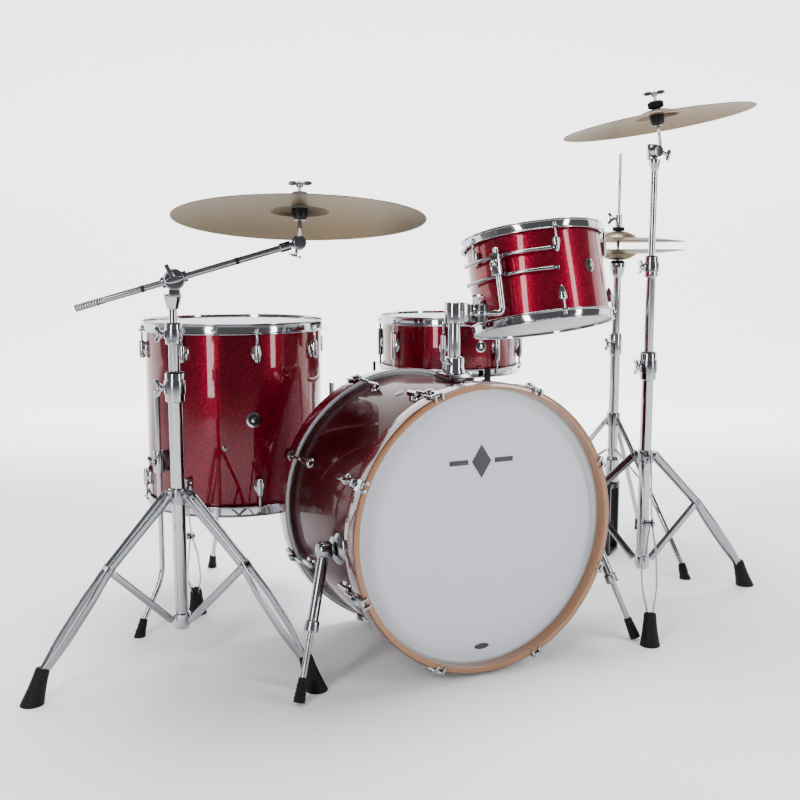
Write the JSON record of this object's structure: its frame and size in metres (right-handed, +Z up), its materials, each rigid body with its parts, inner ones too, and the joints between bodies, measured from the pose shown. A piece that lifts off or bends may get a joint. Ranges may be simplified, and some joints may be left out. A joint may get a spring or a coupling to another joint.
{
  "type": "acoustic drum kit",
  "caption": "Acoustic drum kit: bass drum, rack tom, floor tom and snare in red sparkle lacquer, with hi-hat, crash and ride cymbals on chrome stands.",
  "frame": {"origin": "centre of the bounding box, at the floor", "axes": "+X to the viewer's right when facing the bass drum's front head, +Y towards the drummer, +Z up"},
  "size_m": [1.8678, 1.0058, 1.2128],
  "materials": {
    "lacquer": "deep red sparkle lacquer over wood, glossy",
    "chrome": "polished chrome plate",
    "maple": "clear-coated natural maple",
    "skin": "coated white drumhead film",
    "bronze": "lathed cymbal bronze",
    "black": "black painted metal"
  },
  "bodies": {
    "floor_stance": {"bass_shell": "lacquer", "bass_front_head": "skin", "bass_batter_head": "skin", "bass_front_hoop": "maple", "bass_batter_hoop": "lacquer", "tom_mount_base": "chrome", "floor_tom_shell": "lacquer", "floor_tom_top_head": "skin", "floor_tom_bottom_head": "skin", "floor_tom_top_hoop": "chrome", "floor_tom_bottom_hoop": "chrome", "snare_stand_base": "chrome", "boom_tube": "chrome", "crash_base": "chrome", "hihat_base": "chrome"},
    "spur_left": {"spur_left": "chrome"},
    "spur_left_rod": {"spur_left_rod": "chrome"},
    "spur_right": {"spur_right": "chrome"},
    "spur_right_rod": {"spur_right_rod": "chrome"},
    "tom_post": {"tom_post": "chrome"},
    "tom_clamp": {"tom_clamp": "chrome"},
    "tom_arm": {"tom_arm": "chrome"},
    "tom": {"tom_carrier": "chrome", "tom_shell": "lacquer", "tom_top_head": "skin", "tom_bottom_head": "skin", "tom_top_hoop": "chrome", "tom_bottom_hoop": "chrome"},
    "floor_tom_leg_1": {"floor_tom_leg_1": "chrome"},
    "floor_tom_leg_2": {"floor_tom_leg_2": "chrome"},
    "floor_tom_leg_3": {"floor_tom_leg_3": "chrome"},
    "snare_tube": {"snare_stand_tube": "chrome"},
    "snare": {"snare_basket": "chrome", "snare_shell": "lacquer", "snare_top_head": "skin", "snare_top_hoop": "chrome", "snare_bottom_hoop": "chrome"},
    "snare_lever": {"snare_strainer_lever": "black"},
    "boom_collar": {"boom_leg_collar": "chrome"},
    "boom_leg_1": {"boom_leg_1": "chrome"},
    "boom_brace_1": {"boom_brace_1": "chrome"},
    "boom_leg_2": {"boom_leg_2": "chrome"},
    "boom_brace_2": {"boom_brace_2": "chrome"},
    "boom_leg_3": {"boom_leg_3": "chrome"},
    "boom_brace_3": {"boom_brace_3": "chrome"},
    "boom_middle": {"boom_middle_tube": "chrome"},
    "boom_upper": {"boom_upper_tube": "chrome"},
    "boom_clamp": {"boom_clamp": "chrome"},
    "boom_arm": {"boom_arm": "chrome"},
    "ride_tilter": {"ride_tilter": "chrome"},
    "ride": {"ride_cymbal": "bronze"},
    "crash_middle": {"crash_middle_tube": "chrome"},
    "crash_upper": {"crash_upper_tube": "chrome"},
    "crash_tilter": {"crash_tilter": "chrome"},
    "crash": {"crash_cymbal": "bronze"},
    "hihat_tube": {"hihat_tube": "chrome", "hihat_bottom_cymbal": "bronze"},
    "hihat_rod": {"hihat_pull_rod": "chrome", "hihat_top_cymbal": "bronze"},
    "hihat_footboard": {"hihat_footboard": "black"}
  },
  "joints": [
    {"name": "spur_left_fold", "type": "hinge", "parent": "floor_stance", "child": "spur_left", "pos_m": [-0.3824, -0.3673, 0.268], "axis": [-1, 0, 0], "range_deg": [0, 60]},
    {"name": "spur_left_extend", "type": "slide", "parent": "spur_left", "child": "spur_left_rod", "axis": [-0.2934, -0.269, -0.9174], "range_m": [-0.05, 0]},
    {"name": "spur_right_fold", "type": "hinge", "parent": "floor_stance", "child": "spur_right", "pos_m": [0.2296, -0.3673, 0.268], "axis": [1, 0, 0], "range_deg": [0, 60]},
    {"name": "spur_right_extend", "type": "slide", "parent": "spur_right", "child": "spur_right_rod", "axis": [0.2934, -0.269, -0.9174], "range_m": [-0.05, 0]},
    {"name": "tom_post_height", "type": "slide", "parent": "floor_stance", "child": "tom_post", "axis": [0, 0, 1], "range_m": [-0.01, 0.012]},
    {"name": "tom_post_turn", "type": "hinge", "parent": "tom_post", "child": "tom_clamp", "pos_m": [-0.0464, -0.2683, 0.7], "axis": [0, 0, 1], "range_deg": [-14, 7]},
    {"name": "tom_arm_tilt", "type": "hinge", "parent": "tom_clamp", "child": "tom_arm", "pos_m": [-0.0104, -0.2738, 0.712], "axis": [0.9803, -0.1974, 0], "range_deg": [-8, 8]},
    {"name": "tom_carrier_turn", "type": "hinge", "parent": "tom_arm", "child": "tom", "pos_m": [0.0616, -0.2883, 0.712], "axis": [-0.0254, 0.2176, 0.9757], "range_deg": [-7, 6]},
    {"name": "floor_tom_leg_1_slide", "type": "slide", "parent": "floor_stance", "child": "floor_tom_leg_1", "axis": [0, 0, 1], "range_m": [0, 0.1]},
    {"name": "floor_tom_leg_2_slide", "type": "slide", "parent": "floor_stance", "child": "floor_tom_leg_2", "axis": [0, 0, 1], "range_m": [0, 0.1]},
    {"name": "floor_tom_leg_3_slide", "type": "slide", "parent": "floor_stance", "child": "floor_tom_leg_3", "axis": [0, 0, 1], "range_m": [0, 0.1]},
    {"name": "snare_height", "type": "slide", "parent": "floor_stance", "child": "snare_tube", "axis": [0, 0, 1], "range_m": [-0.03, 0.03]},
    {"name": "snare_tilt", "type": "hinge", "parent": "snare_tube", "child": "snare", "pos_m": [0.2266, 0.2577, 0.478], "axis": [0, 1, 0], "range_deg": [-8, 8]},
    {"name": "snare_strainer_throw", "type": "hinge", "parent": "snare", "child": "snare_lever", "pos_m": [0.41476, 0.20728, 0.574], "axis": [0.2588, 0.9659, 0], "range_deg": [0, 50]},
    {"name": "boom_collar_slide", "type": "slide", "parent": "floor_stance", "child": "boom_collar", "axis": [0, 0, 1], "range_m": [0, 0.0954]},
    {"name": "boom_leg_1_fold", "type": "hinge", "parent": "boom_collar", "child": "boom_leg_1", "pos_m": [-0.63479, -0.1577, 0.358], "axis": [0.225, -0.9744, 0], "range_deg": [0, 30.2]},
    {"name": "boom_brace_1_fold", "type": "hinge", "parent": "boom_leg_1", "child": "boom_brace_1", "pos_m": [-0.76145, -0.18694, 0.229], "axis": [-0.225, 0.9744, 0], "range_deg": [0, 60.4]},
    {"name": "boom_leg_2_fold", "type": "hinge", "parent": "boom_collar", "child": "boom_leg_2", "pos_m": [-0.59597, -0.17069, 0.358], "axis": [0.766, 0.6428, 0], "range_deg": [0, 30.2]},
    {"name": "boom_brace_2_fold", "type": "hinge", "parent": "boom_leg_2", "child": "boom_brace_2", "pos_m": [-0.51241, -0.27027, 0.229], "axis": [-0.766, -0.6428, 0], "range_deg": [0, 60.4]},
    {"name": "boom_leg_3_fold", "type": "hinge", "parent": "boom_collar", "child": "boom_leg_3", "pos_m": [-0.60319, -0.12975, 0.358], "axis": [-0.9397, 0.342, 0], "range_deg": [0, 30.2]},
    {"name": "boom_brace_3_fold", "type": "hinge", "parent": "boom_leg_3", "child": "boom_brace_3", "pos_m": [-0.55873, -0.00759, 0.229], "axis": [0.9397, -0.342, 0], "range_deg": [0, 60.4]},
    {"name": "boom_lower_height", "type": "slide", "parent": "floor_stance", "child": "boom_middle", "axis": [0, 0, 1], "range_m": [-0.04, 0.1]},
    {"name": "boom_upper_height", "type": "slide", "parent": "boom_middle", "child": "boom_upper", "axis": [0, 0, 1], "range_m": [-0.02, 0.08]},
    {"name": "boom_tilt", "type": "hinge", "parent": "boom_upper", "child": "boom_clamp", "pos_m": [-0.6074, -0.1523, 0.786], "axis": [-0.2263, -0.974, 0], "range_deg": [-8, 25]},
    {"name": "boom_arm_slide", "type": "slide", "parent": "boom_clamp", "child": "boom_arm", "axis": [0.9353, -0.2173, 0.2794], "range_m": [-0.07, 0.01]},
    {"name": "ride_tilt", "type": "hinge", "parent": "boom_arm", "child": "ride_tilter", "pos_m": [-0.3664, -0.2083, 0.858], "axis": [0.2263, 0.974, 0], "range_deg": [-8, 8]},
    {"name": "ride_swing", "type": "hinge", "parent": "ride_tilter", "child": "ride", "pos_m": [-0.36149, -0.19801, 0.93718], "axis": [0.2263, 0.974, 0], "range_deg": [-4, 4], "stiffness_Nm_per_rad": 12},
    {"name": "crash_lower_height", "type": "slide", "parent": "floor_stance", "child": "crash_middle", "axis": [0, 0, 1], "range_m": [-0.05, 0.1]},
    {"name": "crash_upper_height", "type": "slide", "parent": "crash_middle", "child": "crash_upper", "axis": [0, 0, 1], "range_m": [-0.05, 0.08]},
    {"name": "crash_tilt", "type": "hinge", "parent": "crash_upper", "child": "crash_tilter", "pos_m": [0.5006, -0.2283, 1.071], "axis": [0, 1, 0], "range_deg": [-12, 14]},
    {"name": "crash_swing", "type": "hinge", "parent": "crash_tilter", "child": "crash", "pos_m": [0.49869, -0.22994, 1.16393], "axis": [0, 1, 0], "range_deg": [-4, 4], "stiffness_Nm_per_rad": 12},
    {"name": "hihat_height", "type": "slide", "parent": "floor_stance", "child": "hihat_tube", "axis": [0, 0, 1], "range_m": [-0.04, 0.06]},
    {"name": "hihat_pull", "type": "slide", "parent": "hihat_tube", "child": "hihat_rod", "axis": [0, 0, 1], "range_m": [-0.016, 0], "stiffness_N_per_m": 1500, "springref_m": 0.02},
    {"name": "hihat_footboard_press", "type": "hinge", "parent": "floor_stance", "child": "hihat_footboard", "pos_m": [0.53555, 0.33516, 0.018], "axis": [-0.7986, -0.6018, 0], "range_deg": [-4.25, 0]}
  ],
  "couplings": [
    {"joint": "boom_leg_1_fold", "follows": "boom_collar_slide", "rad_per_m": 5.4865},
    {"joint": "boom_brace_1_fold", "follows": "boom_collar_slide", "rad_per_m": 10.973},
    {"joint": "boom_leg_2_fold", "follows": "boom_collar_slide", "rad_per_m": 5.4865},
    {"joint": "boom_brace_2_fold", "follows": "boom_collar_slide", "rad_per_m": 10.973},
    {"joint": "boom_leg_3_fold", "follows": "boom_collar_slide", "rad_per_m": 5.4865},
    {"joint": "boom_brace_3_fold", "follows": "boom_collar_slide", "rad_per_m": 10.973},
    {"joint": "hihat_footboard_press", "follows": "hihat_pull", "rad_per_m": 4.3103}
  ]
}
